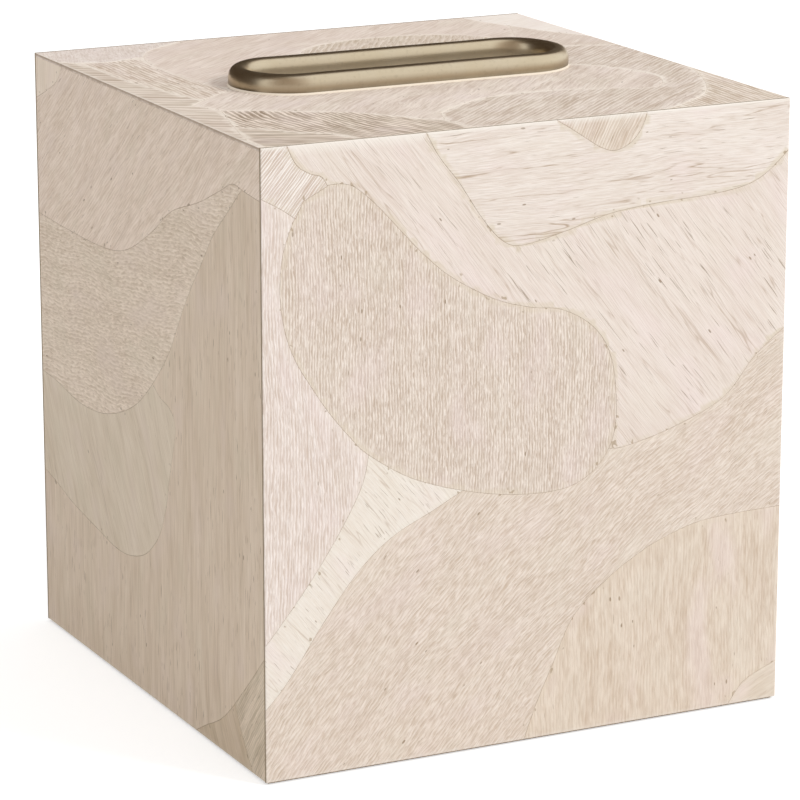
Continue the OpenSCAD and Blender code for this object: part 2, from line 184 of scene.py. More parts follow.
# The numbers that all the veneer shares.
# noises: a cell's run along the grain and pitch across it, in mm or in shares of the leaf's
# own run, pitch or length, the shift into another part of the noise, its detail and roughness
# weights: how much each field counts in the grain's depth, lift being the same all over
# steps: where each smooth step starts and ends
# laid: how strongly the straw, the pores, the specks and the sheet's edge cover the wood
# relief: how much each field counts in the bump
# ragged: how much the fibre or the patches fray a hairline, a line and a joint
# swing and through: how much further lines sway than wobble, and cells to a mm through the leaf
# dash: the limit for a dash, its fall for each 1 of dash, and the softness of a dash's edge
# pore: the cells' length and pitch in mm, how much their size varies, their share for each 1
# of pore, and how softly that share ends
# rough: the deep tone's roughness, and how much less the pale one has
# seed: how far apart the seeds of two leaves are
veneer = dict(
    noises=dict(
        broken=(1.0, 0.5, 11.3, 2, 0.6), fibre=(1.2, 0.24, 61.0, 0, 0.5),
        mottle=(1.8, 1.7, 17.9, 1, 0.5), dash=(1.0, 0.26, 41.0, 0, 0.5),
        sway=(26, 18, 3.1, 0, 0.5), wobble=(3.2, 2.2, 7.7, 0, 0.5),
        streak=(50, 3.2, 23.5, 2, 0.6), cloud=(24, 13, 29.1, 2, 0.5),
        tint=(17, 9, 37.7, 1, 0.5), thin=(22, 1.8, 47.0, 1, 0.6),
        patchy=(2.2, 2.2, 59.0, 1, 0.5), speck=(1.5, 1.1, 83.0, 0, 0.5)),
    weights=dict(thread=0.55, ripple=1.3, fibre=0.9, mottle=1.3, streak=1.4, cloud=1.2),
    lift=0.1,
    steps=dict(
        even=(-0.4, 1.0), depth=(-1.1, 1.1), tint=(0.0, 0.6),
        hair=(0.0, 0.075), hairPlace=(-0.1, 0.35), dashPlace=(-0.3, 0.4), pore=(0.02, 0.07),
        halo=(-0.5, 0.4), line=(0.4, 0.8), linePlace=(-0.7, 0.3),
        joint=(0.0, 0.9), jointPlace=(-0.4, 0.5), speck=(0.3, 0.7), speckPlace=(0.50, 0.62)),
    laid=dict(straw=0.22, pore=0.75, speck=0.6, side=0.85),
    relief=dict(mottle=0.4, dash=0.5, hair=0.6),
    ragged=dict(hair=0.4, line=0.5, joint=0.5),
    swing=7, through=0.4, dash=(0.66, 0.24, 0.14), pore=(6.6, 2.4, 0.05, 0.12, 0.01),
    rough=(0.66, 0.08), specular=0.18, bump=dict(Strength=0.7, Distance=0.08 * mm), seed=3.7,
)


def veneerMaterial(name, face, look):
    # Grain runs along g, lies side by side across c, and n goes through the leaf, all in mm
    material, tree = newMaterial(name)
    look = {**usual, **look}
    laid, relief, ragged = veneer["laid"], veneer["relief"], veneer["ragged"]
    weight = {key: share * look[key] for key, share in veneer["weights"].items()}
    outward, right, up = (np.array(v, float) for v in faces[face])
    turn = math.radians(look["grain"])
    along = right * math.cos(turn) + up * math.sin(turn)
    across = up * math.cos(turn) - right * math.sin(turn)
    place = tree.node("TexCoord", None, None, "Object")
    g, c, n = (tree.node("VectorMath", dict(operation="DOT_PRODUCT"),
                         {0: place, 1: tuple(axis / mm)}, "Value")
               for axis in (along, across, outward))

    def grainNoise(kind, across, longer=1.0, wider=1.0):
        # Noise from -1 to 1, in cells drawn out along the grain
        run, pitch, shift, detail, rough = veneer["noises"][kind]
        at = tree.node("CombineXYZ", None, {0: g * (1 / (longer * run)),
                                            1: across * (1 / (wider * pitch)),
                                            2: n * veneer["through"] + (look["seed"] + shift)})
        found = tree.node("TexNoise", None, {"Vector": at, "Scale": 1.0, "Detail": detail,
                                             "Roughness": rough})
        return found * 2 - 1

    def step(field, kind):
        return field.rise(*veneer["steps"][kind])

    def lay(share, under, key):
        # The tone called key laid over the colour under it
        return blendColours(tree, share, under, tone(look[key]))

    # The lines across the grain bend with sway and wobble, and by arc * g * (g + arcFrom)
    # where the leaf has an arc
    run, pitch, wave = look["run"], look["pitch"], look["wave"]
    sway = grainNoise("sway", c)
    wobble = grainNoise("wobble", c)
    bent = c + sway * (veneer["swing"] * wave) + wobble * wave
    if "arc" in look:
        bent = bent + g * g * look["arc"] + g * look["arc"] * look["arcFrom"]
    # Even lines are a sine across the grain, pushed out of step by the broken ones
    broken = grainNoise("broken", bent, run, pitch)
    wound = (bent * (2 * math.pi / pitch) + broken * look["jitter"]).sine()
    even = step(wound, "even") * 2 - 1
    fibre = grainNoise("fibre", bent, run, pitch)
    lines = (even * weight["thread"] + broken * weight["ripple"] + fibre * weight["fibre"]
             + veneer["lift"])
    mottle = grainNoise("mottle", bent, run, pitch)
    streaks = grainNoise("streak", bent)
    cloud = grainNoise("cloud", c)
    drift = mottle * weight["mottle"] + streaks * weight["streak"] + cloud * weight["cloud"]
    depth = step(lines + drift, "depth")
    colour = blendColours(tree, depth, tone(look["deep"]), tone(look["pale"]))
    # Two casts: rose where the tint is high, straw where it is low
    tint = grainNoise("tint", c)
    colour = lay(step(tint, "tint") * look["blush"], colour, "rose")
    colour = lay(step(tint * -1, "tint") * laid["straw"], colour, "straw")
    # Hairlines run where a drawn-out noise crosses zero, and break off inside the pale streaks
    thin = grainNoise("thin", bent)
    hairs = step(fibre * ragged["hair"] - streaks, "hairPlace")
    hairs = (1 - step(thin.size(), "hair")) * hairs
    colour = lay(hairs * look["hair"], colour, "hairTone")
    # Dark dashes are the peaks of a fine drawn-out noise, most of them inside the pale streaks.
    # The more dashes, the lower the limit that a peak has to reach
    fine = grainNoise("dash", bent, look["length"])
    least, fall, soft = veneer["dash"]
    limit = least - fall * look["dash"]
    dashes = fine.rise(limit, limit + soft) * step(streaks + cloud, "dashPlace")
    colour = lay(dashes * look["mark"], colour, "dark")
    # Pores are the middles of a few long cells, each of its own size
    long, wide, vary, many, soft = veneer["pore"]
    at = tree.node("CombineXYZ", None, {0: g * (1 / long), 1: bent * (1 / wide),
                                        2: look["seed"]})
    cell = tree.node("TexVoronoi", dict(voronoi_dimensions="2D"), {"Vector": at, "Scale": 1.0})
    chance = tree.node("SeparateColor", None, {0: cell.beside("Color")})
    pores = 1 - step(cell - chance.beside("Green") * vary, "pore")
    few = many * look["pore"]
    pores = pores * chance.rise(1 - few, 1 - few + soft)
    colour = lay(pores * laid["pore"], colour, "dark")

    # Rims: the pale halo along a joint, the glue line in it, in patches a line beside it, and
    # the rounded or cut edge
    joint, arris, side, halo = (tree.attribute(k) for k in ("joint", "arris", "side", "halo"))
    patchy = grainNoise("patchy", c)
    colour = lay(halo * (step(cloud, "halo") * look["haloShare"]), colour, "pale")
    glue = blendColours(tree, tree.attribute("lap"), tone(look["glue"]), tone(look["dark"]))
    if "wide" in look:
        beside = step(halo, "line") * step(cloud + patchy * ragged["line"], "linePlace")
        colour = lay(beside * look["wide"], colour, "line")
    filled = step(patchy, "jointPlace") * ragged["joint"] + look["seam"]
    filled = step(joint, "joint") * filled
    colour = blendColours(tree, filled, colour, glue)
    # Specks of glue sit on the joints here and there
    specks = step(halo, "speck") * step(grainNoise("speck", c), "speckPlace")
    colour = lay(specks * laid["speck"], colour, "speck")
    # The worn tone on the box's corners: wear, and along the top edges partly a painted highlight
    colour = lay(arris, colour, "worn")
    colour = lay(side * laid["side"], colour, "end")
    raised = (lines + mottle * relief["mottle"] - dashes * relief["dash"]
              - hairs * (relief["hair"] * look["hair"]))
    bump = tree.node("Bump", None, {"Height": raised, **veneer["bump"]})
    most, less = veneer["rough"]
    finishMaterial(tree, {"Base Color": colour, "Roughness": (most - depth * less).clip(),
                          "Normal": bump, "Specular IOR Level": veneer["specular"]})
    return material


# Leaves: figure, grain angle in degrees seen from outside, and the two tones that the grain
# runs between. Anything else overrides a value of the figure, of the face or of the usual ones.
# arc bends the grain, and wide is the strength of the line beside the joints
leaves = dict(
    front_band_leaf=dict(figure="rippled", grain=46, pale="f2e5d9", deep="ccb8a5", run=2.1,
                         pitch=0.85, thread=0.5, ripple=0.8, fibre=0.9, arc=0.0012, wave=0.25,
                         mottle=0.35, blush=0.2, pore=0.35),
    front_base_leaf=dict(figure="rippled", grain=90, pale="ecdece", deep="ccb7a2", thread=0.3,
                         ripple=0.7, run=3.4, mottle=0.6),
    front_toe_leaf=dict(figure="quiet", grain=25, pale="e9dccc", deep="d4c3b0"),
    front_spike_leaf=dict(figure="dashed", grain=-50, pale="f6efe6", deep="e4d6c6", hair=0.4,
                          dash=1.1, run=3.0, length=4.0, ripple=0.3, fibre=0.45, mark=0.7),
    front_side_leaf=dict(figure="rippled", grain=90, pale="faefe8", deep="d5c2b4", run=3.0,
                         mottle=0.45, pitch=0.80, fibre=0.6),
    front_slant_leaf=dict(figure="dashed", grain=-52, pale="f2e7de", deep="ddccbf", seam=0.35,
                          mark=0.68, streak=0.18, length=7.0, dash=1.0, wide=0.4),
    front_upper_leaf=dict(figure="dashed", grain=1, pale="f6ede5", deep="dac9bb", run=3.5,
                          wave=0.16, streak=0.32, length=5.0, dash=0.75, seam=0.5, mark=0.75,
                          hair=0.85, wide=0.4),
    front_notch_leaf=dict(figure="rippled", grain=62, pale="f1e4d7", deep="c8b29d", run=6.0,
                          thread=0.8, mottle=0.6, pitch=0.76),
    front_blob_leaf=dict(figure="rippled", grain=90, pale="f6eadf", deep="c3ae9b", pore=0.35,
                         mottle=0.2, pitch=0.76, run=2.1, fibre=0.7, wide=0.25),
    front_tip_leaf=dict(figure="lined", grain=49, pale="fff7f0", deep="d0bbab", seam=0.4,
                        mottle=0.7, wide=0.25),
    left_heel_leaf=dict(figure="lined", grain=50, pale="ecd9c3", deep="b1a087", thread=0.4,
                        mottle=0.6, dash=0.6),
    left_wedge_leaf=dict(figure="quiet", grain=-58, pale="dbc7af", deep="c0ab90"),
    left_tall_leaf=dict(figure="straight", grain=90, pale="ebd9c5", deep="c7b198", dash=0.75,
                        hair=0.3, ripple=0.35, streak=0.30, mottle=0.25, pitch=0.9, length=4.0),
    left_low_leaf=dict(figure="quiet", grain=-62, pale="e8d9c5", deep="cfbca4", streak=0.25,
                       ripple=0.35, pitch=1.0),
    left_middle_leaf=dict(figure="woolly", grain=5, pale="f6e5d3", deep="cbb69f", pitch=1.1),
    left_shoulder_leaf=dict(figure="rippled", grain=39, pale="f8e6d6", deep="d7c1ac", ripple=0.7,
                            run=4.0, thread=0.4, mottle=0.5, dash=0.3, hair=0.3),
    left_tip_leaf=dict(figure="quiet", grain=88, pale="f7e6d5", deep="e6d3be", mottle=0.3,
                       ripple=0.3, seam=0.1),
    right_tall_leaf=dict(figure="straight", grain=90, pale="ebddcd", deep="d2bfaa"),
    right_sweep_leaf=dict(figure="rippled", grain=38, pale="efe0d5", deep="d0bdab"),
    right_shoulder_leaf=dict(figure="dashed", grain=-35, pale="f1e6da", deep="decdbd"),
    right_lobe_leaf=dict(figure="rippled", grain=90, pale="eadccb", deep="c8b49c"),
    right_toe_leaf=dict(figure="dashed", grain=15, pale="f0e6da", deep="decdbd"),
    right_tip_leaf=dict(figure="lined", grain=-48, pale="efe3d5", deep="cbb7a1"),
    back_tall_leaf=dict(figure="rippled", grain=90, pale="efe2d8", deep="d3c0b1", thread=0.4),
    back_sweep_leaf=dict(figure="rippled", grain=-42, pale="ecdecf", deep="ccb8a3", arc=0.0012),
    back_upper_leaf=dict(figure="dashed", grain=48, pale="f2e7db", deep="decebd"),
    back_lobe_leaf=dict(figure="straight", grain=0, pale="ebddcd", deep="d2bfab"),
    back_toe_leaf=dict(figure="quiet", grain=70, pale="f0e5d9", deep="dccdbb"),
    back_notch_leaf=dict(figure="lined", grain=-60, pale="e8dac8", deep="c8b39a"),
    # lid_right's seam of 0.8 lays the pale glue over its joints: pale glue, and partly painted
    # light over the grooves' shade
    lid_right_leaf=dict(figure="lined", grain=42, pale="f4e7db", deep="c5b09d", pitch=1.2,
                        mottle=0.6, thread=0.55, ripple=0.7, jitter=4.0, wide=0.6, seam=0.8),
    lid_band_leaf=dict(figure="straight", grain=45, pale="efe0d3", deep="d2bfaf", ripple=0.4,
                       mottle=0.5),
    lid_corner_leaf=dict(figure="rippled", grain=70, pale="f6eae2", deep="d5c3b6", pitch=1.1,
                         thread=0.25, ripple=0.7, mottle=0.5, wide=0.55),
    lid_hatched_leaf=dict(figure="rippled", grain=90, pale="faecdf", deep="c0a994", run=4.5,
                          pitch=1.2, thread=0.75, mottle=0.5, wide=0.55),
    lid_rear_leaf=dict(figure="quiet", grain=40, pale="f4e5d9", deep="d3beae", blush=0.3),
    lid_lens_leaf=dict(figure="rippled", grain=58, pale="eedfd0", deep="c4b09a", pitch=1.5,
                       run=5.0, thread=0.4, ripple=0.9),
    lid_cream_leaf=dict(figure="quiet", grain=30, pale="fdf4ec", deep="f3e6da"),
    lid_heel_leaf=dict(figure="quiet", grain=-26, pale="efdfcf", deep="9a846e", pitch=2.4,
                       run=10.0, ripple=0.9, fibre=0.8, wide=0.55),
    lid_front_leaf=dict(figure="lined", grain=84, pale="fbebdc", deep="a08a74", pitch=1.5,
                        arc=0.0075, arcFrom=66, wave=0.25, ripple=0.7, jitter=3.8, hair=0.2,
                        wide=0.55),
    lid_edge_leaf=dict(figure="lined", grain=-35, pale="f0e2d4", deep="c2ae9b", pitch=3.0,
                       run=12.0, thread=0.8, ripple=0.6, mottle=0.7, fibre=0.7, wide=0.55),
    lid_centre_leaf=dict(figure="quiet", grain=46, pale="f7e9dd", deep="cdb9a9", blush=0.45,
                         ripple=0.8),
    lid_toe_leaf=dict(figure="lined", grain=87, pale="f9ecdf", deep="c0a991", pitch=1.3,
                      jitter=3.8, thread=0.8, mottle=0.6, wide=0.55),
)
# Tones shared by the leaves of a face: the glue line, the veneer's own edge, its worn corners,
# which along the top edges are partly a painted highlight, the dark marks, the two casts that
# drift over it, the hairlines, the specks of glue, and the line beside the joints. haloShare is
# how pale a leaf is along its joints
faceTones = dict(
    front=dict(glue="a8906e", end="857052", worn="f6efe5", dark="8f785c", rose="f0dedb",
               straw="ebe2d3", hairTone="b0967c", speck="a08868", haloShare=0.45, wide=0.10,
               line="cfbf9f"),
    back=dict(glue="a8906e", end="857052", worn="f6efe5", dark="8f785c", rose="f0dedb",
              straw="ebe2d3", hairTone="b0967c", speck="a08868", haloShare=0.45),
    right=dict(glue="a8906e", end="a08a6c", worn="f2e9dd", dark="8f785c", rose="f0dedb",
               straw="ebe2d3", hairTone="b0967c", speck="a08868", haloShare=0.45),
    left=dict(glue="7d6a50", end="a5907a", worn="e6d8c6", dark="876c54", rose="e2cfc2",
              straw="d6cbb4", hairTone="a8927a", speck="8c775e", haloShare=0.2, seam=0.3,
              pore=0.2),
    lid=dict(glue="fdf3e6", end="b0967e", worn="f4eadf", dark="806b54", rose="ead9d2",
             straw="e2d8c4", hairTone="fdf3e8", speck="a08b72", haloShare=0.45, seam=0.5, wide=0.3,
             line="fdf3e6", hair=0.5),
)

# A leaf's rim in mm: its rounding at a joint and at the box's corners, the steps of the
# rounding, the spacing and the least spacing of the outline, the spacing of the grid inside and
# where it starts, the width of the halo, the share of it that points inside keep clear, the
# room that the halo's ring may take, how near counts as the same place, a distance too far to
# count, and one too small to. half, top and foot are the box's half width and the heights of
# its lid and its bare foot, and sheet is the veneer's thickness. worn is how strongly the pale
# worn tone lies on the box's corners: wear, and along the top edges partly a painted highlight.
# A mitre moves a point by at most hold times the room or the shorter side, and slack, and
# stretches it by at most 1 / sharp
rim = dict(joint=0.13, arris=0.26, steps=3, spacing=0.9, least=0.06, inside=3.0, start=1,
           halo=0.7, clear=0.8, ringRoom=3, near=0.01, far=99, tiny=1e-5,
           half=70.0, top=152.5, foot=0.4, sheet=0.8, hold=0.45, sharp=0.3, slack=0.05,
           worn=dict(lid=0.5, top=0.75, foot=0.3, upright=0.15))


def leafOutline(name, face):
    # The outer face's rim of a CAD leaf as one closed line in that face's plane, in mm,
    # running anticlockwise, with the heights of the outer and inner face. A triangle's side
    # belongs to the rim if no other triangle has it the other way round
    mesh = nodes[name].data
    mesh.calc_loop_triangles()
    place = np.empty(len(mesh.vertices) * 3)
    corner = np.empty(len(mesh.loop_triangles) * 3, int)
    mesh.vertices.foreach_get("co", place)
    mesh.loop_triangles.foreach_get("vertices", corner)
    place = place.reshape(-1, 3) / mm
    # Points that are the same to a micrometre are one
    one, same = np.unique(np.round(place, 3), axis=0, return_inverse=True)
    corner = same.ravel()[corner].reshape(-1, 3)
    outward, right, up = (np.array(v, float) for v in faces[face])
    height = one @ outward
    corner = corner[(height[corner] > height.max() - rim["near"]).all(1)]
    sides = np.concatenate([corner[:, [0, 1]], corner[:, [1, 2]], corner[:, [2, 0]]])
    code = sides[:, 0] * len(one) + sides[:, 1]
    back = sides[:, 1] * len(one) + sides[:, 0]
    follow = dict(sides[~np.isin(code, back)].tolist())
    start = next(iter(follow))
    line = [start]
    while follow[line[-1]] != start:
        line.append(follow[line[-1]])
    flat = np.stack([one[line] @ right, one[line] @ up], 1)
    return flat, height.max(), height.min()


def respaced(line, spacing, least):
    # Drops points nearer than least to the one before, then splits each long side evenly
    line = line[np.linalg.norm(line - np.roll(line, 1, 0), axis=1) > least]
    side = np.roll(line, -1, 0) - line
    count = np.maximum(np.ceil(np.linalg.norm(side, axis=1) / spacing).astype(int), 1)
    step = np.arange(count.sum()) - np.repeat(np.cumsum(count) - count, count)
    return np.repeat(line, count, 0) + np.repeat(side / count[:, None], count, 0) * step[:, None]


def distanceTo(points, line):
    # Distance from each point to each side of the closed line
    side = np.roll(line, -1, 0) - line
    offset = points[:, None] - line[None]
    share = np.clip((offset * side).sum(2) / (side ** 2).sum(1), 0, 1)
    return np.linalg.norm(offset - share[..., None] * side, axis=2)


def inwards(line, depth, room):
    # Moves each point of an anticlockwise line inwards by depth along its mitre, held back at
    # sharp tips and where the leaf is narrow
    ahead = np.roll(line, -1, 0) - line
    length = np.linalg.norm(ahead, axis=1)
    normal = np.stack([-ahead[:, 1], ahead[:, 0]], 1) / length[:, None]
    mitre = normal + np.roll(normal, 1, 0)
    mitre /= np.maximum(np.linalg.norm(mitre, axis=1), rim["tiny"])[:, None]
    stretch = 1 / np.maximum((mitre * normal).sum(1), rim["sharp"])
    shorter = np.minimum(length, np.roll(length, 1))
    move = np.minimum(np.minimum(depth, room * rim["hold"]) * stretch,
                      rim["hold"] * shorter + rim["slack"])
    return line + mitre * move[:, None]


def within(points, line):
    # True for the points inside the closed line: a level ray to the right crosses it an odd
    # number of times. A level side is never crossed, so its rise may be anything but 0
    a, b = line, np.roll(line, -1, 0)
    x, y = points[:, :1], points[:, 1:]
    cross = (a[:, 1] > y) != (b[:, 1] > y)
    rise = np.where(b[:, 1] == a[:, 1], 1, b[:, 1] - a[:, 1])
    return ((x < (b[:, 0] - a[:, 0]) * (y - a[:, 1]) / rise + a[:, 0]) & cross).sum(1) % 2 == 1


def cornersOf(line, face):
    # For each point of the outline: 1 on one of the box's own corners, how worn it is there, which
    # on the top edges is partly a painted highlight, and 1 where the leaf butts against another
    # face's leaf and shows dark, which the lid's front edge doesn't
    u, v, near, worn = np.abs(line[:, 0]), line[:, 1], rim["near"], rim["worn"]
    inset = rim["half"] - rim["sheet"] - near
    upright, foot = u > rim["half"] - near, v < rim["foot"] + near
    zero = np.zeros(len(line))
    if face == "lid":
        left = line[:, 0] < near - rim["half"]
        return zero, left * worn["lid"], (upright | (v > inset)) * 1.0
    if face in ("left", "right"):
        under = v > rim["top"] - rim["sheet"] - near
        return foot * 1.0, foot * worn["foot"], ((u > inset) | under) * 1.0
    top = v > rim["top"] - near
    wear = np.maximum(top * worn["top"], foot * worn["foot"] + upright * worn["upright"])
    return (foot | upright | top) * 1.0, wear, zero


def leafPiece(name, face):
    # A closed sheet: walls from the inner face up, a quarter round all along the outline, and
    # a field of triangles with the outline's last ring as its border
    line, top, bottom = leafOutline(name, face)
    line = respaced(line, rim["spacing"], rim["least"])
    n = len(line)
    index = np.arange(n)
    ahead = (index + 1) % n
    # The room at a point is its distance to the nearest side, apart from the four about it
    gaps = distanceTo(line, line)
    for about in (index, index - 1, ahead, index - 2):
        gaps[index, about] = rim["far"]
    room = gaps.min(1)
    arris, worn, lap = cornersOf(line, face)
    depth = rim["joint"] + (rim["arris"] - rim["joint"]) * arris
    turns = np.linspace(0, math.pi / 2, rim["steps"] + 1)
    loops = [inwards(line, depth * (1 - math.cos(t)), room) for t in turns]
    drops = [depth * (1 - math.sin(t)) for t in turns]
    border = loops[-1]
    # Points inside: a ring at the halo's width, and a grid
    ring = inwards(line, np.full(n, rim["halo"]), room * rim["ringRoom"])
    low, high = line.min(0) + rim["start"], line.max(0)
    grid = np.meshgrid(*(np.arange(low[k], high[k], rim["inside"]) for k in (0, 1)))
    extra = np.concatenate([ring, np.stack(grid, -1).reshape(-1, 2)])
    extra = extra[within(extra, border)]
    extra = extra[distanceTo(extra, line).min(1) > rim["halo"] * rim["clear"]]
    flat = np.concatenate([border, extra])
    links = [(i, (i + 1) % n) for i in range(n)]
    found, _, triangles, origin, _, _ = geometry.delaunay_2d_cdt(
        [Vector(p) for p in flat], links, [], 1, rim["tiny"])
    found = np.array([tuple(p) for p in found])
    source = np.array([o[0] if o else -1 for o in origin])
    if len(found) != len(flat) or (source < 0).any():
        print("  outline crosses itself:", name, len(found) - len(flat))
    # Vertices: the wall's foot, then the rounding's loops, then the field's own points
    outward, right, up = (np.array(v, float) for v in faces[face])
    layers = [(line, np.full(n, top - bottom))] + list(zip(loops, drops))
    onBorder = (source >= 0) & (source < n)
    number = np.where(onBorder, n * len(loops) + source, 0)
    own = np.flatnonzero(~onBorder)
    number[own] = n * len(layers) + np.arange(len(own))
    across = np.concatenate([p for p, _ in layers] + [found[own]])
    height = top - np.concatenate([d for _, d in layers] + [np.zeros(len(own))])
    place = (across[:, :1] * right + across[:, 1:] * up + height[:, None] * outward) * mm
    quads = [np.stack([index, ahead, ahead + n, index + n], 1) + k * n for k in range(len(loops))]
    polygons = np.concatenate(quads).tolist()
    polygons += [[int(number[v]) for v in t] for t in triangles]
    polygons.append(list(range(n))[::-1])
    mesh = bpy.data.meshes.new(name)
    mesh.from_pydata(place, [], polygons)
    # A row for each layer, and nothing inside. Where the lid butts against another face's leaf
    # its wall keeps the colour of the wood
    none, rest = np.zeros(n), [np.zeros(len(own))]
    butt = lap * (face == "lid")
    fade = 1 - np.linspace(0, 1, len(loops))[:, None]
    addAttributes(mesh,
                  side=np.concatenate([1 - butt, none + 1] + [none] * rim["steps"] + rest),
                  joint=np.concatenate([1 - butt, *(fade * (1 - arris))] + rest),
                  arris=np.concatenate([none] + [worn] * len(loops) + rest),
                  halo=np.concatenate([(1 - arris) * (1 - lap)] * len(layers) + rest),
                  lap=np.concatenate([lap] * len(layers) + rest))
    mesh.validate()
    piece = bpy.data.objects.new(name.replace("_leaf", "_veneer"), mesh)
    scene.collection.objects.link(piece)
    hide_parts(name)
    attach(piece, "root")
    return piece


for number, (name, leaf) in enumerate(leaves.items()):
    face = name.split("_")[0]
    look = {**figures[leaf["figure"]], **faceTones[face], **leaf,
            "seed": veneer["seed"] * number}
    piece = leafPiece(name, face)
    piece.data.materials.append(veneerMaterial(name.replace("_leaf", ""), face, look))
print("leaves made:", len(leaves))

# Plain CAD pieces inside: fibreboards and backing veneers. fine and large are noises, each
# given by its cells to the metre, its detail, and where its smooth step starts and ends, and
# cast is how strongly the large one lays the pale tone on
boardLook = dict(body="b0926a", speck="8a6d4a", pale="cbb189", fine=(1600.0, 4.0, 0.35, 0.62),
                 large=(140.0, 3.0, 0.45, 0.75), cast=0.6, rough=0.85,
                 bump=dict(Strength=0.5, Distance=0.1 * mm))
backingLook = dict(pale="e2d2bd", deep="cdb99f", seed=200.0)


def boardMaterial():
    material, tree = newMaterial("fibreboard")
    place = tree.node("TexCoord", None, None, "Object")
    (fibres, fine), (cloud, large) = (
        (tree.node("TexNoise", None, {"Vector": place, "Scale": scale, "Detail": detail}), step)
        for scale, detail, *step in (boardLook["fine"], boardLook["large"]))
    body, speck, pale = (tone(boardLook[key]) for key in ("body", "speck", "pale"))
    colour = blendColours(tree, fibres.rise(*fine), speck, body)
    colour = blendColours(tree, cloud.rise(*large) * boardLook["cast"], colour, pale)
    bump = tree.node("Bump", None, {"Height": fibres, **boardLook["bump"]})
    finishMaterial(tree, {"Base Color": colour, "Normal": bump, "Roughness": boardLook["rough"]})
    return material


board = boardMaterial()
for side in faces:
    nodes[side + "_board"].material_slots[0].material = board
    look = {**figures["straight"], **faceTones["left"], **backingLook,
            "grain": 0 if side == "lid" else 90, "seed": backingLook["seed"] + len(side)}
    nodes[side + "_backing"].material_slots[0].material = veneerMaterial(side + "Backing", side,
                                                                         look)
print("boards and backings dressed")

# Slot ring: a half-round bead on straight sides, with a throat down into the slot, carried round
# a long loop. Lengths in mm.
# straight and end: the middle line's straight run and end radius
# bead, high, crown and square: the bead's half width, its height, the crown's part of that, and
# the power that flattens the crown
# wall, mouth, down, lip and bevel: the throat's thickness, the height where it begins, its
# depth and its rounded lower edge
# bulge: the section of the pale filler in the foot, out from the bead and up
# swell, sinks and leans: the unevenness of hand work, and how the crown sinks and leans, each as
# sines by their waves round the loop, where they start, and their share
# around, along and over: the steps round both ends, along a straight and over the crown
# low and inner: where the dark foot, partly patina and partly painted shade where the bead
# meets the lid, and the pale throat, painted light in the slot, fade with height
# sharp: the angle above which an edge shows, in degrees
# noises and pits: cells to the metre, and a noise's detail and roughness
# steps and laid: where each smooth step starts and ends, and how strongly a tone covers the ones
# below it; foot is that of the dark foot, partly patina and partly painted shade near the lid, by
# the cloud and all over
# shine and dull: the roughness of the bare brass, then what cloud, pits, filler and throat add
# to it, and how much less metallic the throat looks, which with the throat's pale tone is painted
# light in the slot
ringLook = dict(straight=61.0, end=12.4, bead=2.55, high=4.9, crown=3.6, square=2.4, wall=1.6,
                mouth=0.2, down=6.0, lip=0.3, bevel=0.1, around=128, along=40, over=41,
                swell=0.1, sinks=((3, 0.6, 0.6), (7, 0, 0.4)), leans=((2, 1, 1), (5, 0, 0.5)),
                bulge=((0.0, 0.0), (0.24, 0.0), (0.22, 0.1), (0.11, 0.28), (0.02, 0.46),
                       (0.0, 0.5)),
                low=(1.2, 2.6), inner=(2.6, 2.4), sharp=50,
                noises=dict(cloud=(90.0, 3.0, 0.55), grain=(1100.0, 2.0, 0.5)), pits=230.0,
                steps=dict(cloud=(0.4, 0.7), grain=(0.5, 0.8), pit=(0.04, 0.11),
                           some=(0.95, 0.96), filler=(0.4, 0.6)),
                laid=dict(worn=0.5, grain=0.12, pit=0.85, throat=0.4), foot=(0.5, 0.4),
                shine=(0.27, 0.12, 0.3, 0.25, 0.25), dull=0.45, grainHeight=0.25,
                bump=dict(Strength=0.3, Distance=0.06 * mm),
                brass="d6c7ab", worn="dfd2ba", patinaAndFootShade="6a583e", pit="2a2117", filler="f2e6d4",
                throat="ecd8b4")


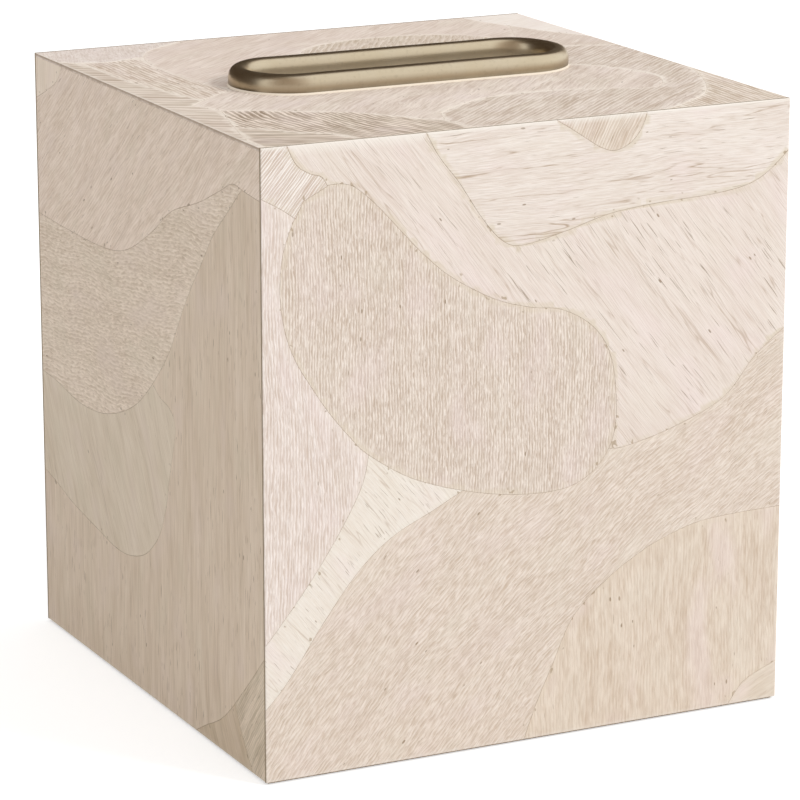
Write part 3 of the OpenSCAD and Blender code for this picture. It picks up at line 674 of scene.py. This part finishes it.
def ringPiece():
    # The loop's middle line is two straights and two half circles, and the section is given as
    # distance out from that line and height above the lid, outer side first
    look = ringLook
    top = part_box("slot_ring")[1][2] / mm
    half, bead, high, tall = look["straight"] / 2, look["bead"], look["high"], look["crown"]
    wall, down, lip, bevel = look["wall"], look["down"], look["lip"], look["bevel"]
    arc = np.linspace(-90, 90, look["around"] // 2 + 1) * math.pi / 180
    run = np.linspace(0, 1, look["along"], endpoint=False)[1:]
    level = np.full(len(run), math.pi / 2)
    turns = np.concatenate([arc, level, arc + math.pi, level * 3])
    middle = np.concatenate([np.full(len(arc), half), half - 2 * half * run,
                             np.full(len(arc), -half), 2 * half * run - half])
    out = np.stack([np.cos(turns), np.sin(turns)], 1)
    # The crown is an ellipse with its sine and cosine raised to 2 / square, which flattens its
    # top a little
    crown, power = np.linspace(0, math.pi, look["over"]), 2 / look["square"]
    across = np.sign(np.cos(crown)) * np.abs(np.cos(crown)) ** power
    upward = np.abs(np.sin(crown)) ** power
    throat = [[0, look["mouth"]], [0, lip - down], [bevel, bevel - down], [lip, -down],
              [wall - lip, -down], [wall - bevel, bevel - down], [wall, lip - down], [wall, 0]]
    section = np.concatenate([np.array(look["bulge"]) + [bead, 0],
                              np.stack([bead * across, tall * upward + high - tall], 1),
                              np.array(throat) - [bead, 0]])
    away, aloft = section.T
    rows, columns = len(turns), len(section)
    # Hand work: the crown's height and lean wander by about a tenth of a millimetre
    around = np.linspace(0, 2 * math.pi, rows, endpoint=False)[:, None]

    def waves(kind, level):
        return sum((share * np.sin(count * around + start)
                    for count, start, share in look[kind]), level)

    lift = np.clip(aloft / high, 0, 1) ** 2
    sink = look["swell"] * waves("sinks", 1)
    lean = look["swell"] * waves("leans", 0)
    reach = look["end"] + away + lean * lift
    place = np.stack([middle[:, None] + out[:, :1] * reach, out[:, 1:] * reach,
                      top - high + aloft - sink * lift], -1).reshape(-1, 3) * mm
    i, j = np.meshgrid(np.arange(rows), np.arange(columns), indexing="ij")
    i2, j2 = (i + 1) % rows, (j + 1) % columns
    quads = np.stack([i * columns + j, i2 * columns + j, i2 * columns + j2, i * columns + j2], -1)
    mesh = bpy.data.meshes.new("ring_bead")
    mesh.from_pydata(place, [], quads.reshape(-1, 4).tolist())
    filler = np.arange(columns) < len(look["bulge"]) - 1
    # low: the dark foot, partly patina and partly painted shade where the bead meets the lid
    low = np.clip(look["low"][0] - aloft / look["low"][1], 0, 1) * (away > 0)
    # inner: the throat down in the slot, which the material paints paler as painted light
    inner = np.clip((look["inner"][0] - aloft) / look["inner"][1], 0, 1) * (away < 0)
    addAttributes(mesh, filler=np.tile(filler * 1.0, rows), low=np.tile(low, rows),
                  inner=np.tile(inner, rows))
    mesh.polygons.foreach_set("use_smooth", np.ones(len(mesh.polygons), bool))
    mesh.set_sharp_from_angle(angle=math.radians(look["sharp"]))
    piece = bpy.data.objects.new("brass_ring", mesh)
    scene.collection.objects.link(piece)
    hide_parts("slot_ring")
    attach(piece, "root")
    return piece


def ringMaterial():
    material, tree = newMaterial("antiquedBrass")
    steps, laid = ringLook["steps"], ringLook["laid"]
    place = tree.node("TexCoord", None, None, "Object")
    cloud, grain = (tree.node("TexNoise", None, {"Vector": place, "Scale": scale,
                                                 "Detail": detail, "Roughness": rough})
                    for scale, detail, rough in (ringLook["noises"][key]
                                                 for key in ("cloud", "grain")))
    cell = tree.node("TexVoronoi", None, {"Vector": place, "Scale": ringLook["pits"]})
    low, filler, inner = (tree.attribute(key) for key in ("low", "filler", "inner"))
    filler = filler.rise(*steps["filler"])
    # Pits are the middles of one cell in twenty
    chance = tree.node("SeparateColor", None, {0: cell.beside("Color")})
    pits = (1 - cell.rise(*steps["pit"])) * chance.rise(*steps["some"])
    # Tones over the bare brass, each with how strongly it lies over the ones before
    # The dark foot, low, is partly patina and partly painted shade where the bead meets the lid
    cloudy, plain = ringLook["foot"]
    layers = ((cloud.rise(*steps["cloud"]) * laid["worn"], "worn"),
              (grain.rise(*steps["grain"]) * laid["grain"], "patinaAndFootShade"),
              (low * (cloud * cloudy + plain), "patinaAndFootShade"), (pits * laid["pit"], "pit"),
              (filler, "filler"), (inner * laid["throat"], "throat"))
    colour = tone(ringLook["brass"])
    for share, key in layers:
        colour = blendColours(tree, share, colour, tone(ringLook[key]))
    bare, *more = ringLook["shine"]
    rough = cloud * more[0] + bare + pits * more[1] + filler * more[2] + inner * more[3]
    raised = grain * ringLook["grainHeight"] - pits
    bump = tree.node("Bump", None, {"Height": raised, **ringLook["bump"]})
    # The throat, with its pale tone and less metal, is painted light in the dark slot
    metal = (1 - filler) * (1 - inner * ringLook["dull"])
    finishMaterial(tree, {"Base Color": colour, "Roughness": rough.clip(), "Normal": bump,
                          "Metallic": metal})
    return material


ring = ringPiece()
ring.data.materials.append(ringMaterial())
print("ring made")

# Stage: a pale floor, a white surround, one soft lamp, and brown cards that only gloss sees.
# glow and fill are the floor's and the surround's own light, floorSize the floor's radius,
# sides and drop, and the lamp is given by its place, aim, width and power, in metres and watts.
# A card is given by its first and last bearing, clockwise from the box's back, by the degrees
# over which its first and last edges pale, by how bright it is, by the height it starts from,
# and by the height from which it pales towards the top. ball is the cards' distance, mesh their
# columns and rows, and horizon the height to which they are pale there, the degrees over which
# that fades, the bearing where it begins, the degrees over which it comes in, and how pale
stageLook = dict(floor="e2e2e2", glow=0.50, floorSize=(5, 96, 0.0002), fill=0.77,
                 lamp=((2.2, -2.875, 2.6), (0, 0, 0.08), 1.0, 77),
                 cardTint=(1.0, 0.72, 0.50, 1.0), ball=1.2, mesh=(90, 60),
                 cards=((-97, 68, 3, 22, 0.07, 0, 84), (155, 243, 60, 3, 0.36, 0, 84),
                        (243, 263, 1, 1, 0.20, 54, 84)), horizon=(9, 11, 26, 14, 0.9))
white = (1, 1, 1, 1)


def wholeSky(tree):
    # 1 for the rays of the camera, of gloss and of glass, 0 for the rest
    seen = tree.node("LightPath", None, None, "Is Camera Ray")
    return (seen + seen.beside("Is Glossy Ray") + seen.beside("Is Transmission Ray")).clip()


def stagePiece(name, place, polygons, material):
    mesh = bpy.data.meshes.new(name)
    mesh.from_pydata(place, [], polygons)
    mesh.materials.append(material)
    piece = bpy.data.objects.new(name, mesh)
    scene.collection.objects.link(piece)
    return piece


def floorPiece():
    radius, count, drop = stageLook["floorSize"]
    turns = np.linspace(0, 2 * math.pi, count, endpoint=False)
    place = np.stack([radius * np.cos(turns), radius * np.sin(turns), np.full(count, -drop)], 1)
    material, tree = newMaterial("paleFloor")
    lit = tree.node("BsdfDiffuse", None, {"Color": tone(stageLook["floor"])})
    glow = tree.node("Emission", None, {"Color": white,
                                        "Strength": wholeSky(tree) * stageLook["glow"]})
    both = tree.node("AddShader", None, {0: lit, 1: glow})
    tree.node("OutputMaterial", None, {"Surface": both})
    stagePiece("floor", place, [list(range(count))], material)


def brownCards():
    # Parts of a ball round the box. Upwards a card pales by the smooth step t * t * (3 - 2 t),
    # beside its first and last edges by (1 - t) ** 2, and right of the back it pales near the
    # horizon
    material, tree = newMaterial("brownCard")
    shade = tree.attribute("shade")
    colour = blendColours(tree, shade, stageLook["cardTint"], white)
    glow = tree.node("Emission", None, {"Color": colour, "Strength": shade})
    tree.node("OutputMaterial", None, {"Surface": glow})
    columns, rows = stageLook["mesh"]
    height, fade, bearing, soft, share = stageLook["horizon"]
    for first, last, softFirst, softLast, least, base, dark in stageLook["cards"]:
        turn, lift = np.meshgrid(np.linspace(first, last, columns + 1),
                                 np.linspace(base, 90, rows + 1))
        aloft = np.clip((lift - dark) / (90 - dark), 0, 1)
        beside = np.maximum(1 - (turn - first) / softFirst, 1 - (last - turn) / softLast)
        beside = np.clip(beside, 0, 1)
        horizon = (np.clip(1 - (lift - height) / fade, 0, 1)
                   * np.clip((turn - bearing) / soft, 0, 1) * share)
        clear = np.maximum(np.maximum(aloft * aloft * (3 - 2 * aloft), beside * beside), horizon)
        turn, lift = np.radians(turn), np.radians(lift)
        place = stageLook["ball"] * np.stack([np.sin(turn) * np.cos(lift),
                                              np.cos(turn) * np.cos(lift), np.sin(lift)], -1)
        i, j = np.meshgrid(np.arange(rows), np.arange(columns), indexing="ij")
        corner = i * (columns + 1) + j
        quads = np.stack([corner, corner + 1, corner + columns + 2, corner + columns + 1], -1)
        card = stagePiece("card", place.reshape(-1, 3), quads.reshape(-1, 4).tolist(), material)
        addAttributes(card.data, shade=least + (1 - least) * clear)
        card.visible_camera = card.visible_diffuse = card.visible_transmission = False
        card.visible_shadow = card.visible_volume_scatter = False


def surround():
    world = bpy.data.worlds.new("surround")
    scene.world = world
    world.use_nodes = True
    world.node_tree.nodes.clear()
    tree = Field(world.node_tree)
    fill = stageLook["fill"]
    back = tree.node("Background", None, {"Color": white,
                                          "Strength": wholeSky(tree) * (1 - fill) + fill})
    tree.node("OutputWorld", None, {"Surface": back})


def softLamp(name, place, aim, size, power):
    lamp = bpy.data.lights.new(name, "AREA")
    lamp.shape, lamp.size, lamp.energy = "DISK", size, power
    made = bpy.data.objects.new(name, lamp)
    scene.collection.objects.link(made)
    made.location = place
    made.rotation_euler = (Vector(aim) - Vector(place)).to_track_quat("-Z", "Y").to_euler()
    made.visible_glossy = made.visible_camera = False


floorPiece()
brownCards()
surround()
softLamp("keyLamp", *stageLook["lamp"])
scene.view_settings.view_transform = "Standard"
print("stage set")
